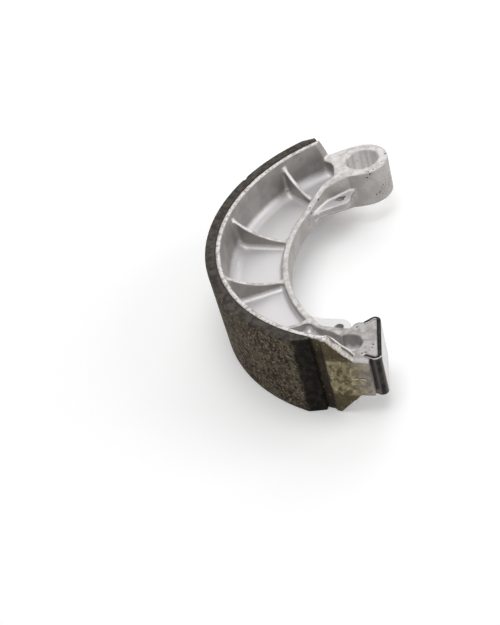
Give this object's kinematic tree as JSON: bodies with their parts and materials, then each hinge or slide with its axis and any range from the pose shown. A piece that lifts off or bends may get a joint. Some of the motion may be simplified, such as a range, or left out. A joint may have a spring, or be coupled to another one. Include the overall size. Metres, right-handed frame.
{
  "type": "brake shoe",
  "caption": "Drum brake shoe: ribbed cast crescent with a bonded friction lining, a pivot eye at one end and a steel-capped cam pad at the other.",
  "frame": {"origin": "centre of the pivot bore, at mid width", "axes": "+Z along the pivot bore and the drum's axis; +Y along the brake's centre plane, from the cam to the pivot; -X towards the lining, away from that plane"},
  "size_m": [0.0798, 0.1508, 0.04],
  "materials": {
    "cast_aluminium": "satin die-cast skin with fine dark pits",
    "friction_lining": "rough moulded friction composite",
    "adhesive": "thin cured adhesive film",
    "cap_steel": "dark blued steel strip"
  },
  "bodies": {
    "root": {"shoe_casting": "cast_aluminium", "brake_lining": "friction_lining", "lining_bond": "adhesive", "cam_end_cap": "cap_steel"}
  },
  "joints": []
}
